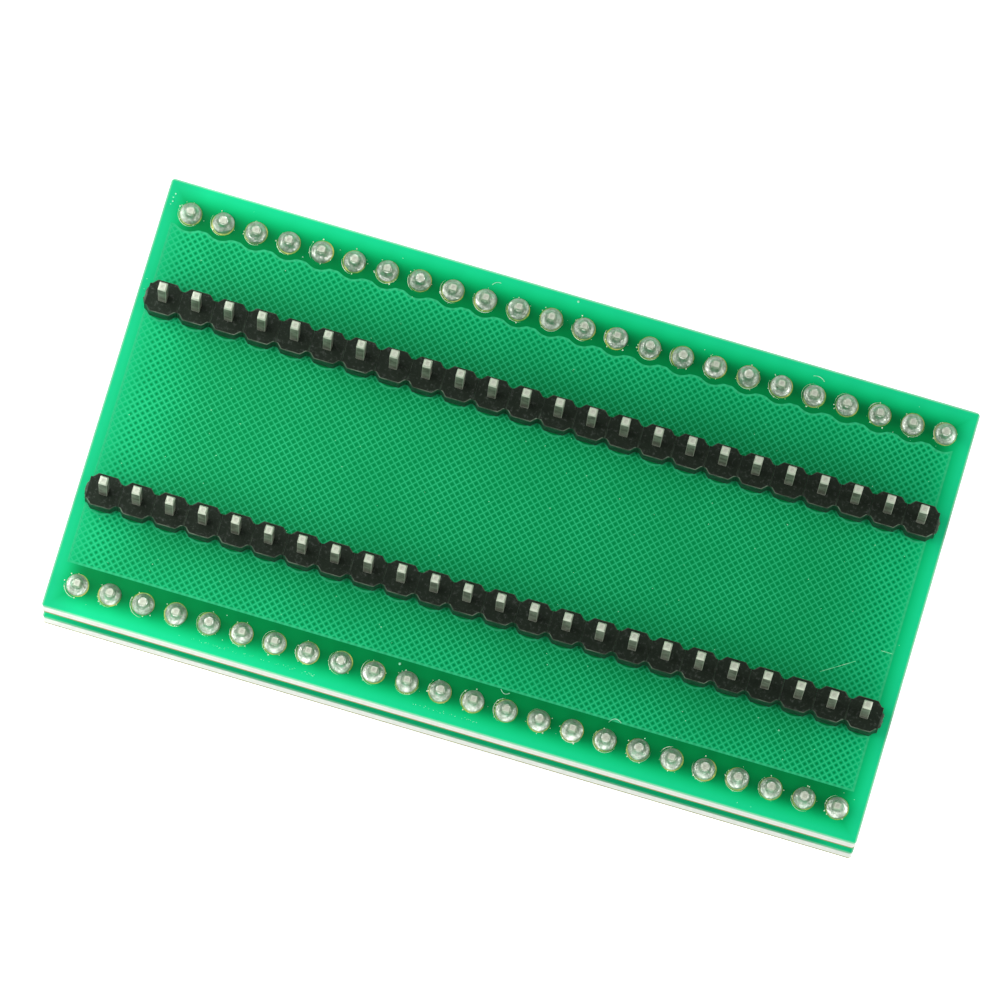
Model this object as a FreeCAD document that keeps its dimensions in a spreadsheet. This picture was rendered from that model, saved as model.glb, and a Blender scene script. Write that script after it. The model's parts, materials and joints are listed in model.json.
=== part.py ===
import FreeCAD, Part
import Sketcher
import math
import os
import re

# An adapter that plugs a thin two-sided memory chip into a wide 48-pin programmer socket.
# It is drawn as it lies on a bench: on the press cover of its chip socket, pins up.
# X runs along the pin rows, Y across them and Z up, and the origin is under the middle of
# the cover's face. Lengths are millimetres and angles are degrees.

SIZES = (
    ("pin_count", "24", "pins in each row"),
    ("pin_width", "0.64", "side of the square pin"),
    ("dip_row_spacing", "15.24", "between the two plug rows, 0.6 inch"),
    ("board_length", "62.6", "both boards, along the rows"),
    ("board_width", "33.8", "both boards, across the rows"),
    ("board_thickness", "2.0", "both boards"),
    ("row_end_margin", "2.09", "end pin to the board's short edge"),
    ("row_side_margin", "2.25", "link row to the board's long edge"),
    ("board_corner", "0.3", "corner radius of the boards"),
    ("board_hole", "0.9", "side of a plated pin hole"),
    ("plug_strip_height", "1.7", "moulded header strip of a plug row"),
    ("link_strip_height", "2.54", "header strip between the boards, which sets their gap"),
    ("strip_width", "2.46", "header strip, across the row"),
    ("cell_notch", "0.4", "depth of the notch between two cells"),
    ("cell_bevel", "0.53", "length of the notch's slope along the row"),
    ("dip_pin_reach", "4.1", "plug pin beyond its strip"),
    ("dip_tail", "1.2", "plug pin beyond the board's inner face"),
    ("tip_length", "0.2", "tapered end of a pin"),
    ("tip_inset", "0.1", "taper on each side of a pin's end"),
    ("link_pin_reach", "1.15", "link pin beyond each board's outer face"),
    ("solder_radius", "0.85", "foot of a solder cone, corner to middle"),
    ("solder_height", "1.0", "solder cone above the board"),
    ("socket_length", "33.2", "chip socket, along the chip"),
    ("socket_width", "21.0", "chip socket, across the chip"),
    ("socket_height", "12.0", "board to the cover's face, cover up"),
    ("height_steps", "12", "steps in the socket's height"),
    ("contact_count", "24", "contacts on each side of the chip"),
    ("contact_pitch", "0.5", "contact to contact"),
    ("contact_blade", "0.25", "thickness of a contact"),
    ("contact_tail", "1.2", "contact beyond the board's inner face"),
    ("tail_width", "0.4", "contact tail along the chip"),
    ("tail_stagger", "1.6", "inner row of contact tails to outer row"),
    ("well_inner_gap", "0.7", "arm's bend to the contact well's inner wall"),
    ("well_outer_gap", "2.4", "arm's bend to the well's outer wall"),
    ("well_half", "6.15", "contact well, half its width"),
    ("pivot_inset", "5.1", "socket's end to the bend of a contact arm"),
    ("arm_root_half", "0.3", "arm at its bend, half its width"),
    ("lever_reach", "1.95", "arm's bend to its lever end, along the chip"),
    ("lever_tip_half", "0.28", "slope at the lever end"),
    ("lever_bulge", "1.1", "outer side of the lever, from the bend"),
    ("crotch_along", "0.5", "fork of the arm, from the bend"),
    ("shoulder_along", "0.8", "shoulder of the arm, from the bend"),
    ("elbow_along", "0.75", "elbow of the arm, from the bend"),
    ("nose_reach", "1.95", "arm's bend to its nose, along the chip"),
    ("nose_length", "0.25", "slope of the nose"),
    ("seat_play", "0.05", "gap between that lip and the block"),
    ("seat_gap", "1.1", "arm's bend to the chip seat's end"),
    ("seat_half_width", "6.75", "chip seat, half its width"),
    ("comb_depth", "0.45", "rib bar between contacts, along the chip"),
    ("comb_play", "0.05", "gap each side of a contact in its slot"),
    ("chip_half_width", "6.05", "chip body and its play, half"),
    ("chip_guide_gap", "4.9", "arm's bend to a corner guide's inner end"),
    ("guide_lead_in", "0.35", "sloped entry of the corner guides"),
    ("pedestal_gap", "2.2", "arm's bend to the end of the block under the seat"),
    ("pedestal_half_width", "6.0", "block under the seat, half its width"),
    ("rail_inner", "7.6", "base side rail, inner face from the middle"),
    ("rail_end", "0.1", "side rail beyond the arm's bend"),
    ("hook_gap", "5.0", "arm's bend to the middle of a cover hook"),
    ("hook_width", "2.2", "cover hook, along the chip"),
    ("hook_play", "0.3", "gap each side of a hook in its window"),
    ("hook_reach", "0.6", "how far a hook's nose goes under its ledge"),
    ("cover_wall", "0.9", "cover skirt"),
    ("cover_play", "0.25", "gap between skirt and rail"),
    ("mouth_gap", "0.5", "arm's bend to the end of the cover's opening"),
    ("mouth_half_width", "7.0", "chip opening in the cover, half"),
    ("mouth_bevel", "0.8", "sloped edge round the opening"),
    ("cam_start_gap", "1.15", "arm's bend to the cam bar's inner face"),
    ("cam_heel_gap", "1.4", "arm's bend to the start of the cam slope"),
    ("cam_toe_gap", "3.3", "arm's bend to the end of the cam slope"),
    ("cam_relief", "0.02", "rise of the flats beside the cam slope"),
    ("cam_half_width", "6.2", "cam bar, half its width"),
    ("spring_inset", "2.6", "socket's end to a cover spring"),
    ("spring_across", "8.3", "cover spring from the middle, across the chip"),
    ("spring_outer", "1.1", "cover spring, outer radius"),
    ("spring_inner", "0.8", "cover spring, inner radius"),
    ("spring_play", "0.12", "gap round a spring in its bore and peg"),
    ("spring_end_play", "0.05", "gap above a spring in its bore"),
    ("locating_peg", "0.75", "radius of the pegs that place the socket"),
    ("locating_reach", "1.6", "length of those pegs in the board"),
    ("locating_gap", "2.1", "arm's bend to a locating peg"),
    ("locating_across", "7.2", "locating peg from the middle"),
    ("locating_play", "0.05", "gap round a locating peg"),
    ("socket_corner", "0.8", "bevel of the socket's upright corners"),
    ("index_corner", "2.0", "larger bevel that marks the first contact"),
    ("index_inner", "1.15", "bevel inside the skirt at that corner"),
)

# Heights inside the socket, in the steps that divide its whole height.
HEIGHTS = (
    ("floor_height", "2.2", "socket base floor above the board"),
    ("pivot_up", "3.1", "bend of a contact arm, above the board"),
    ("stub_top", "2.55", "top of the fixed part of a contact"),
    ("foot_top", "1.4", "top of the fixed part between bend and tail"),
    ("foot_under", "0.6", "underside of the fixed part above the board"),
    ("arm_root_drop", "0.35", "arm below the middle of its bend"),
    ("lever_up", "7.5", "lever end of an arm, above the board"),
    ("lever_bulge_up", "1.5", "outer side of the lever, above the bend"),
    ("crotch_up", "1.9", "fork of the arm, above the bend"),
    ("arm_depth", "0.5", "height of the arm over the chip's leads"),
    ("nose_up", "5.05", "nose above the board, no chip in"),
    ("seat_under", "4.0", "underside of the chip seat above the board"),
    ("seat_top", "4.9", "plane that the chip's leads rest on"),
    ("seat_lip", "0.6", "lip of the seat round the block under it"),
    ("comb_top", "5.6", "top of the rib bar above the board"),
    ("chip_guide_top", "6.2", "top of the corner guides above the board"),
    ("rail_top", "6.2", "base side rail above the board"),
    ("hook_nose", "0.7", "height of a hook's nose"),
    ("ledge_height", "3.8", "underside of the ledge above the board"),
    ("ledge_play", "0.1", "gap between nose and ledge, cover up"),
    ("window_floor", "0.35", "bottom of a hook window above the board"),
    ("cover_plate", "3.0", "thickness of the cover's frame"),
    ("skirt_bottom", "5.0", "lower edge of the skirt above the board, cover up"),
    ("cam_low", "7.37", "cam slope start above the board, cover up"),
    ("cam_high", "8.83", "cam slope end above the board, cover up"),
    ("spring_bore_depth", "1.8", "blind bore in the cover for a spring"),
    ("spring_peg_height", "1.2", "peg in the base inside a spring"),
)

# Places that follow from the sizes above, each written once.
PLACES = (
    ("pin_pitch", "(board_length - 2 * row_end_margin) / (pin_count - 1)"),
    ("link_row_spacing", "board_width - 2 * row_side_margin"),
    ("pin_row_half", "pin_pitch * (pin_count - 1) / 2"),
    ("contact_row_half", "contact_pitch * (contact_count - 1) / 2"),
    ("pivot_along", "socket_length / 2 - pivot_inset"),
    ("spring_along", "socket_length / 2 - spring_inset"),
    ("well_inner", "pivot_along - well_inner_gap"),
    ("well_outer", "pivot_along + well_outer_gap"),
    ("lever_along", "pivot_along + lever_reach"),
    ("nose_along", "pivot_along - nose_reach"),
    ("seat_half_length", "pivot_along - seat_gap"),
    ("pedestal_half_length", "pivot_along - pedestal_gap"),
    ("chip_guide_start", "pivot_along - chip_guide_gap"),
    ("rail_half_length", "pivot_along + rail_end"),
    ("hook_place", "pivot_along - hook_gap"),
    ("mouth_half_length", "pivot_along - mouth_gap"),
    ("cam_start", "pivot_along + cam_start_gap"),
    ("cam_heel", "pivot_along + cam_heel_gap"),
    ("cam_toe", "pivot_along + cam_toe_gap"),
    ("locating_along", "pivot_along - locating_gap"),
    ("socket_face", "socket_height"),
    ("socket_board_inner", "socket_face + board_thickness"),
    ("pin_board_inner", "socket_board_inner + link_strip_height"),
    ("pin_board_face", "pin_board_inner + board_thickness"),
    ("dip_strip_top", "pin_board_face + plug_strip_height"),
    ("tail_end", "board_thickness + contact_tail"),
    ("nose_top", "ledge_height - ledge_play"),
    ("cover_under", "socket_height - cover_plate"),
    ("skirt_inner", "socket_width / 2 - cover_wall"),
    ("rail_outer", "skirt_inner - cover_play"),
    ("window_inner", "skirt_inner - hook_reach - cover_play"),
    ("comb_slot", "contact_blade + 2 * comb_play"),
)

FIRST_SIZE_ROW = 2
X_AXIS = FreeCAD.Vector(1, 0, 0)
Y_AXIS = FreeCAD.Vector(0, 1, 0)
UPRIGHT = FreeCAD.Rotation()
TURNED_OVER = FreeCAD.Rotation(X_AXIS, 180)
TURNED_OVER_LEFT = FreeCAD.Rotation(Y_AXIS, 180)

doc = FreeCAD.newDocument("SocketAdapter")
sheet = doc.addObject("Spreadsheet::Sheet", "Sizes")
known = set()
bodies = []


def bind(text):
    """Writes the sheet's name in front of each size that an expression uses."""

    def qualify(match):
        word = match.group(0)
        return "Sizes." + word if word in known else word

    return re.sub(r"[a-z_]+", qualify, text)


def fill_sheet():
    """Puts the sizes and the places that follow from them into the sheet."""
    row = FIRST_SIZE_ROW
    for alias, value, note in SIZES:
        sheet.set("A%d" % row, alias)
        sheet.set("B%d" % row, value)
        sheet.set("C%d" % row, note)
        sheet.setAlias("B%d" % row, alias)
        row += 1
    for alias, steps, note in HEIGHTS:
        sheet.set("A%d" % row, alias)
        sheet.set("B%d" % row, "=%s * socket_height / height_steps" % steps)
        sheet.set("C%d" % row, note)
        sheet.setAlias("B%d" % row, alias)
        row += 1
    for alias, formula in PLACES:
        sheet.set("A%d" % row, alias)
        sheet.set("B%d" % row, "=" + formula)
        sheet.setAlias("B%d" % row, alias)
        row += 1
    doc.recompute()
    for alias, *_ in SIZES + HEIGHTS + PLACES:
        known.add(alias)


def size(text):
    """The value of an expression of sizes, as a plain number."""
    value = sheet.evalExpression(bind(text))
    return float(getattr(value, "Value", value))


def origin_part(body, role):
    """One of a body's own origin planes or axes."""
    for feature in body.Origin.OriginFeatures:
        if feature.Role == role:
            return feature


def new_body(name, rotation=UPRIGHT, lift=None, across=None):
    """A body whose label names its file, turned and moved into its place."""
    body = doc.addObject("PartDesign::Body", name)
    body.Label = name
    body.Placement = FreeCAD.Placement(FreeCAD.Vector(), rotation)
    if lift:
        body.setExpression("Placement.Base.z", bind(lift))
    if across:
        body.setExpression("Placement.Base.y", bind(across))
    bodies.append(body)
    return body


def sketch(body, name, loops, plane="XY_Plane", lift=None):
    """A sketch of closed outlines, with every corner held by an expression of sizes."""
    drawing = body.newObject("Sketcher::SketchObject", name)
    drawing.AttachmentSupport = [(origin_part(body, plane), "")]
    drawing.MapMode = "FlatFace"
    if lift:
        drawing.setExpression("AttachmentOffset.Base.z", bind(lift))
    for loop in loops:
        first = len(drawing.Geometry)
        corners = [FreeCAD.Vector(size(along), size(across), 0) for along, across in loop]
        for index, corner in enumerate(corners):
            following = corners[(index + 1) % len(corners)]
            drawing.addGeometry(Part.LineSegment(corner, following), False)
        for index, (along, across) in enumerate(loop):
            edge = first + index
            before = first + (index - 1) % len(loop)
            drawing.addConstraint(Sketcher.Constraint("Coincident", before, 2, edge, 1))
            hold(drawing, "DistanceX", edge, corners[index].x, along)
            hold(drawing, "DistanceY", edge, corners[index].y, across)
    return drawing


def hold(drawing, kind, edge, value, text):
    """Ties one coordinate of an edge's start to an expression."""
    number = drawing.addConstraint(Sketcher.Constraint(kind, -1, 1, edge, 1, value))
    drawing.setExpression("Constraints[%d]" % number, bind(text))


def rectangle(left, right, low, high):
    """The corners of an upright rectangle."""
    return [(left, low), (right, low), (right, high), (left, high)]


def centred(half_along, half_across):
    """A rectangle about the middle."""
    return rectangle("-(%s)" % half_along, half_along, "-(%s)" % half_across, half_across)


def about(along, across, half_along, half_across):
    """A rectangle about a point."""
    return rectangle(
        "%s - (%s)" % (along, half_along),
        "%s + (%s)" % (along, half_along),
        "%s - (%s)" % (across, half_across),
        "%s + (%s)" % (across, half_across),
    )


def octagon(along, across, radius):
    """Eight corners about a point, with flats along both axes."""
    half_turn = "%s * cos(180 / 8)" % radius
    half_flat = "%s * sin(180 / 8)" % radius
    corners = []
    for first, second, sign_one, sign_two in (
        (half_turn, half_flat, "+", "+"),
        (half_flat, half_turn, "+", "+"),
        (half_flat, half_turn, "-", "+"),
        (half_turn, half_flat, "-", "+"),
        (half_turn, half_flat, "-", "-"),
        (half_flat, half_turn, "-", "-"),
        (half_flat, half_turn, "+", "-"),
        (half_turn, half_flat, "+", "-"),
    ):
        corners.append(("%s %s %s" % (along, sign_one, first), "%s %s %s" % (across, sign_two, second)))
    return corners


def bevelled(half_along, half_across, bevel, marked_bevel):
    """A rectangle about the middle with cut corners, one of them cut larger."""
    return [
        ("-%s + %s" % (half_along, marked_bevel), "-%s" % half_across),
        ("%s - %s" % (half_along, bevel), "-%s" % half_across),
        ("%s" % half_along, "-%s + %s" % (half_across, bevel)),
        ("%s" % half_along, "%s - %s" % (half_across, bevel)),
        ("%s - %s" % (half_along, bevel), "%s" % half_across),
        ("-%s + %s" % (half_along, bevel), "%s" % half_across),
        ("-%s" % half_along, "%s - %s" % (half_across, bevel)),
        ("-%s" % half_along, "-%s + %s" % (half_across, marked_bevel)),
    ]


def pad(body, drawing, length, downward=False, symmetric=False):
    """Raises a sketch into a solid."""
    feature = body.newObject("PartDesign::Pad", drawing.Name + "_pad")
    feature.Profile = drawing
    feature.setExpression("Length", bind(length))
    feature.Reversed = downward
    if symmetric:
        feature.SideType = "Symmetric"
    body.Tip = feature
    doc.recompute()
    return feature


def pocket(body, drawing, length=None, upward=False):
    """Cuts a sketch out of the body, right through if no length is given."""
    before = body.Shape.Volume
    feature = body.newObject("PartDesign::Pocket", drawing.Name + "_pocket")
    feature.Profile = drawing
    feature.Reversed = upward
    if length:
        feature.setExpression("Length", bind(length))
    else:
        feature.Type = "ThroughAll"
    body.Tip = feature
    doc.recompute()
    if body.Shape.Volume >= before:
        raise RuntimeError("%s cuts nothing" % feature.Name)
    return feature


def row(body, axis, count, spacing, feature_only=None):
    """Repeats the whole body so far, or one cut, in a straight row along an axis."""
    name = (feature_only or body.Tip).Name + "_row"
    feature = body.newObject("PartDesign::LinearPattern", name)
    if feature_only:
        feature.Originals = [feature_only]
    else:
        feature.TransformMode = "Whole shape"
    feature.Direction = (origin_part(body, axis), [""])
    feature.Mode = "Spacing"
    feature.setExpression("Occurrences", bind(count))
    feature.setExpression("Offset", bind(spacing))
    body.Tip = feature
    doc.recompute()
    return feature


def edges_where(shape, test):
    """The names of a shape's edges whose two ends both pass a test."""
    names = []
    for number, edge in enumerate(shape.Edges, 1):
        ends = [vertex.Point for vertex in edge.Vertexes]
        if len(ends) == 2 and test(*ends):
            names.append("Edge%d" % number)
    return names


def soften(body, kind, names, amount):
    """Rounds or bevels some of the body's edges."""
    base = body.Tip
    feature = body.newObject("PartDesign::" + kind, body.Name + "_" + kind.lower())
    feature.Base = (base, names)
    feature.setExpression("Radius" if kind == "Fillet" else "Size", bind(amount))
    body.Tip = feature
    doc.recompute()
    return feature


def is_upright(one, other):
    """True for an edge that runs straight up."""
    return abs(one.x - other.x) + abs(one.y - other.y) < 1e-6


# The two boards, with plated holes for every pin that goes through them.
LINK_ROWS = (("a", "link_row_spacing / 2"), ("b", "-link_row_spacing / 2"))
DIP_ROWS = (("a", "dip_row_spacing / 2"), ("b", "-dip_row_spacing / 2"))
LOCATING_PLACES = (("-locating_along", "locating_across"), ("locating_along", "-locating_across"))


def make_board(name, lift):
    """A plain board with rounded corners and the two rows of link-pin holes."""
    body = new_body(name, lift=lift)
    outline = sketch(body, name + "_outline", [centred("board_length / 2", "board_width / 2")])
    pad(body, outline, "board_thickness")
    soften(body, "Fillet", edges_where(body.Shape, is_upright), "board_corner")
    drill_rows(body, name + "_link_holes", LINK_ROWS)
    return body


def drill_rows(body, name, rows):
    """Square pin holes through a board, in rows along X."""
    squares = [about("-pin_row_half", across, "board_hole / 2", "board_hole / 2") for _, across in rows]
    first = pocket(body, sketch(body, name, squares), upward=True)
    row(body, "X_Axis", "pin_count", "pin_pitch", feature_only=first)


def make_pin_board():
    """The board that carries the plug pins."""
    body = make_board("pin_board", "pin_board_inner")
    drill_rows(body, "pin_board_dip_holes", DIP_ROWS)


def make_socket_board():
    """The board that carries the chip socket, with slots for its contact tails."""
    body = make_board("socket_board", "socket_face")
    for label, along, start in (
        ("near_right", "pivot_along", "contact_pitch - contact_row_half"),
        ("far_right", "pivot_along + tail_stagger", "-contact_row_half"),
        ("near_left", "-pivot_along", "-contact_row_half"),
        ("far_left", "-pivot_along - tail_stagger", "contact_pitch - contact_row_half"),
    ):
        slot = about(along, start, "tail_width / 2", "contact_blade / 2")
        first = pocket(body, sketch(body, "tail_slots_" + label, [slot]), upward=True)
        row(body, "Y_Axis", "contact_count / 2", "2 * contact_pitch", feature_only=first)
    holes = [octagon(along, across, "(locating_peg + locating_play)") for along, across in LOCATING_PLACES]
    pocket(body, sketch(body, "locating_holes", holes), upward=True)


# Header strips, pins and solder, which repeat along a row.
def plain_cell():
    """The outline of one cell of a strip with straight sides."""
    return about("-pin_row_half", "0", "pin_pitch / 2", "strip_width / 2")


def notched_cell():
    """The outline of one eight-sided cell."""
    left = "-pin_row_half - pin_pitch / 2"
    right = "-pin_row_half + pin_pitch / 2"
    half = "strip_width / 2"
    return [
        (left, "-%s + cell_notch" % half),
        (left + " + cell_bevel", "-%s" % half),
        (right + " - cell_bevel", "-%s" % half),
        (right, "-%s + cell_notch" % half),
        (right, "%s - cell_notch" % half),
        (right + " - cell_bevel", half),
        (left + " + cell_bevel", half),
        (left, "%s - cell_notch" % half),
    ]


def make_strip(name, lift, across, height, cell):
    """A moulded strip of cells with a square hole through each."""
    body = new_body(name, lift=lift, across=across)
    pad(body, sketch(body, name + "_cell", [cell]), height)
    hole = about("-pin_row_half", "0", "pin_width / 2", "pin_width / 2")
    pocket(body, sketch(body, name + "_hole", [hole]), upward=True)
    row(body, "X_Axis", "pin_count", "pin_pitch")


def make_pins(name, across, bottom, top):
    """A row of square pins."""
    body = new_body(name, lift=bottom, across=across)
    square = about("-pin_row_half", "0", "pin_width / 2", "pin_width / 2")
    shank = pad(body, sketch(body, name + "_shank", [square]), "%s - (%s)" % (top, bottom))
    if name.startswith("dip"):
        taper(body, shank)
    row(body, "X_Axis", "pin_count", "pin_pitch")


def taper(body, shank):
    """Narrows the upper end of a square pin."""
    end = shank.Shape.BoundBox.ZMax

    def is_end(one, other):
        return abs(one.z - end) + abs(other.z - end) < 1e-6

    tip = soften(body, "Chamfer", edges_where(shank.Shape, is_end), "tip_length")
    tip.ChamferType = "Two distances"
    tip.setExpression("Size2", bind("tip_inset"))


def make_solder(name, across):
    """A row of solder cones round the link pins, with flat faces from foot to pin."""
    foot_radius = size("solder_radius")
    half_pin = size("pin_width") / 2
    height = size("solder_height")
    spacing = size("pin_pitch")
    half_row = size("pin_row_half")
    eighth = 360 / 8
    foot = [around(foot_radius, (corner + 0.5) * eighth) for corner in range(8)]
    collar = [around(half_pin * math.sqrt(2), (2 * corner + 1) * eighth) for corner in range(4)]
    rise = FreeCAD.Vector(0, 0, height)
    faces = [flat_face(foot, collar)]
    for quarter in range(4):
        low = collar[quarter]
        following = collar[(quarter + 1) % 4]
        first = foot[2 * quarter]
        second = foot[2 * quarter + 1]
        third = foot[(2 * quarter + 2) % 8]
        faces.append(flat_face([low, following, following + rise, low + rise]))
        faces.append(flat_face([first, second, low + rise]))
        faces.append(flat_face([second, third, following + rise, low + rise]))
    cone = Part.Solid(Part.Shell(faces))
    if cone.Volume < 0:
        cone.reverse()
    cones = []
    for number in range(int(size("pin_count"))):
        place = FreeCAD.Vector(number * spacing - half_row, 0, 0)
        cones.append(cone.translated(place))
    joints = doc.addObject("Part::Feature", name)
    joints.Label = name
    joints.Shape = Part.Compound(cones)
    joints.Placement = FreeCAD.Placement(FreeCAD.Vector(0, size(across), size("pin_board_face")), UPRIGHT)
    bodies.append(joints)


def around(radius, degrees):
    """A point on a circle about the origin."""
    angle = math.radians(degrees)
    return FreeCAD.Vector(radius * math.cos(angle), radius * math.sin(angle), 0)


def flat_face(corners, hole=None):
    """A flat face from its corners, with one hole if a second outline is given."""
    outer = Part.makePolygon(corners + corners[:1])
    if not hole:
        return Part.Face(outer)
    inner = Part.makePolygon(hole + hole[:1])
    return Part.makeFace([outer, inner], "Part::FaceMakerBullseye")


def make_plug_rows():
    """The two rows that plug into the programmer."""
    for side, across in DIP_ROWS:
        make_strip("dip_strip_" + side, "pin_board_face", across, "plug_strip_height", notched_cell())
        make_pins(
            "dip_pins_" + side, across, "pin_board_inner - dip_tail", "dip_strip_top + dip_pin_reach"
        )


def make_link_rows():
    """The two rows that join the boards, soldered on both outer faces."""
    for side, across in LINK_ROWS:
        make_strip("link_strip_" + side, "socket_board_inner", across, "link_strip_height", plain_cell())
        make_pins(
            "link_pins_" + side, across, "socket_face - link_pin_reach", "pin_board_face + link_pin_reach"
        )
        make_solder("pin_board_solder_" + side, across)


# The chip socket, drawn as it stands in use: height is counted up from the board.
SPRING_PLACES = (
    ("-spring_along", "-spring_across"),
    ("spring_along", "-spring_across"),
    ("spring_along", "spring_across"),
    ("-spring_along", "spring_across"),
)
BOTH_SIDES = ("", "-")


def four_times(along, across, half_along, half_across):
    """The same rectangle in all four quarters."""
    loops = []
    for sign_along in BOTH_SIDES:
        for sign_across in BOTH_SIDES:
            middle_along = "%s(%s)" % (sign_along, along)
            middle_across = "%s(%s)" % (sign_across, across)
            loops.append(about(middle_along, middle_across, half_along, half_across))
    return loops


def make_socket_base():
    """The base: floor, block under the chip, side rails, contact wells and hook windows."""
    body = new_body("socket_base", TURNED_OVER, lift="socket_face")
    floor = bevelled("socket_length / 2", "socket_width / 2", "socket_corner", "index_corner")
    pad(body, sketch(body, "base_floor", [floor]), "floor_height")
    block = centred("pedestal_half_length", "pedestal_half_width")
    block_drawing = sketch(body, "base_block", [block], lift="floor_height")
    pad(body, block_drawing, "seat_under - floor_height")
    rails = []
    for sign in BOTH_SIDES:
        middle = "%s(rail_inner + rail_outer) / 2" % sign
        rails.append(about("0", middle, "rail_half_length", "(rail_outer - rail_inner) / 2"))
    rail_drawing = sketch(body, "base_rails", rails, lift="floor_height")
    pad(body, rail_drawing, "rail_top - floor_height")
    wells = []
    for sign in BOTH_SIDES:
        middle = "%s(well_inner + well_outer) / 2" % sign
        wells.append(about(middle, "0", "(well_outer - well_inner) / 2", "well_half"))
    pocket(body, sketch(body, "base_wells", wells), upward=True)
    windows = four_times(
        "hook_place",
        "(window_inner + socket_width) / 2",
        "hook_width / 2 + hook_play",
        "(socket_width - window_inner) / 2",
    )
    window_drawing = sketch(body, "hook_windows", windows, lift="ledge_height")
    pocket(body, window_drawing, "ledge_height - window_floor")
    pegs = [octagon(along, across, "(spring_inner - spring_play)") for along, across in SPRING_PLACES]
    pad(body, sketch(body, "spring_pegs", pegs, lift="floor_height"), "spring_peg_height")
    pegs = [octagon(along, "-(%s)" % across, "locating_peg") for along, across in LOCATING_PLACES]
    pad(body, sketch(body, "locating_pegs", pegs), "locating_reach", downward=True)


def make_chip_seat():
    """The seat that the chip drops on, with corner guides and a comb for its leads."""
    body = new_body("chip_seat", TURNED_OVER, lift="socket_face")
    plate = centred("seat_half_length", "seat_half_width")
    plate_drawing = sketch(body, "seat_plate", [plate], lift="seat_under - seat_lip")
    pad(body, plate_drawing, "seat_top - seat_under + seat_lip")
    recess = centred("pedestal_half_length + seat_play", "pedestal_half_width + seat_play")
    pocket(body, sketch(body, "seat_recess", [recess], lift="seat_under"), "seat_lip")
    bars = []
    for sign in BOTH_SIDES:
        middle = "%s(seat_half_length - comb_depth / 2)" % sign
        bars.append(about(middle, "0", "comb_depth / 2", "chip_half_width"))
    pad(body, sketch(body, "seat_bars", bars, lift="seat_top"), "comb_top - seat_top")
    guides = four_times(
        "(chip_guide_start + seat_half_length) / 2",
        "(chip_half_width + seat_half_width) / 2",
        "(seat_half_length - chip_guide_start) / 2",
        "(seat_half_width - chip_half_width) / 2",
    )
    pad(body, sketch(body, "seat_guides", guides, lift="seat_top"), "chip_guide_top - seat_top")
    top = size("chip_guide_top")
    inside = size("chip_half_width")

    def is_entry(one, other):
        on_top = abs(one.z - top) + abs(other.z - top) < 1e-6
        return on_top and abs(abs(one.y) - inside) + abs(abs(other.y) - inside) < 1e-6

    soften(body, "Chamfer", edges_where(body.Tip.Shape, is_entry), "guide_lead_in")
    slots = []
    for sign in BOTH_SIDES:
        middle = "%s(seat_half_length - comb_depth / 2)" % sign
        slots.append(about(middle, "-contact_row_half", "comb_depth", "comb_slot / 2"))
    first = pocket(body, sketch(body, "comb_slots", slots, lift="comb_top"), "comb_top - seat_top")
    row(body, "Y_Axis", "contact_count", "contact_pitch", feature_only=first)


def make_socket_cover():
    """The press cover: frame, skirt, cam bars, hooks and spring bores."""
    body = new_body("socket_cover", TURNED_OVER, lift="socket_face")
    outline = bevelled("socket_length / 2", "socket_width / 2", "socket_corner", "index_corner")
    mouth = centred("mouth_half_length", "mouth_half_width")
    pad(body, sketch(body, "cover_frame", [outline, mouth], lift="cover_under"), "cover_plate")
    top = size("socket_height")
    reach = size("mouth_half_length")
    side = size("mouth_half_width")

    def is_mouth_rim(one, other):
        on_top = abs(one.z - top) + abs(other.z - top) < 1e-6
        inside = max(abs(one.x), abs(other.x)) < reach + 1e-6
        return on_top and inside and max(abs(one.y), abs(other.y)) < side + 1e-6

    soften(body, "Chamfer", edges_where(body.Tip.Shape, is_mouth_rim), "mouth_bevel")
    inner = bevelled("(socket_length / 2 - cover_wall)", "skirt_inner", "socket_corner", "index_inner")
    skirt = sketch(body, "cover_skirt", [outline, inner], lift="skirt_bottom")
    pad(body, skirt, "cover_under - skirt_bottom")
    cams = []
    for sign in BOTH_SIDES:
        profile = [
            ("cam_start", "cover_under"),
            ("cam_start", "cam_low - cam_relief"),
            ("cam_heel", "cam_low"),
            ("cam_toe", "cam_high"),
            ("socket_length / 2 - cover_wall", "cam_high + cam_relief"),
            ("socket_length / 2 - cover_wall", "cover_under"),
        ]
        cams.append([("%s(%s)" % (sign, along), up) for along, up in profile])
    cam_drawing = sketch(body, "cover_cams", cams, plane="XZ_Plane")
    pad(body, cam_drawing, "2 * cam_half_width", symmetric=True)
    legs = four_times(
        "hook_place", "(skirt_inner + socket_width / 2) / 2", "hook_width / 2", "cover_wall / 2"
    )
    leg_drawing = sketch(body, "hook_legs", legs, lift="nose_top - hook_nose")
    pad(body, leg_drawing, "skirt_bottom - nose_top + hook_nose")
    noses = four_times("hook_place", "skirt_inner - hook_reach / 2", "hook_width / 2", "hook_reach / 2")
    pad(body, sketch(body, "hook_noses", noses, lift="nose_top - hook_nose"), "hook_nose")
    bores = [octagon(along, across, "(spring_outer + spring_play)") for along, across in SPRING_PLACES]
    bore_drawing = sketch(body, "spring_bores", bores, lift="cover_under")
    pocket(body, bore_drawing, "spring_bore_depth", upward=True)


def make_springs():
    """Four coil springs, each drawn as the sleeve that its coil fills."""
    for number, (along, across) in enumerate(SPRING_PLACES, 1):
        body = new_body("cover_spring_%d" % number, TURNED_OVER, lift="socket_face")
        sleeve = [octagon(along, across, "spring_outer"), octagon(along, across, "spring_inner")]
        drawing = sketch(body, "sleeve_%d" % number, sleeve, lift="floor_height")
        pad(body, drawing, "cover_under + spring_bore_depth - spring_end_play - floor_height")


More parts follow.
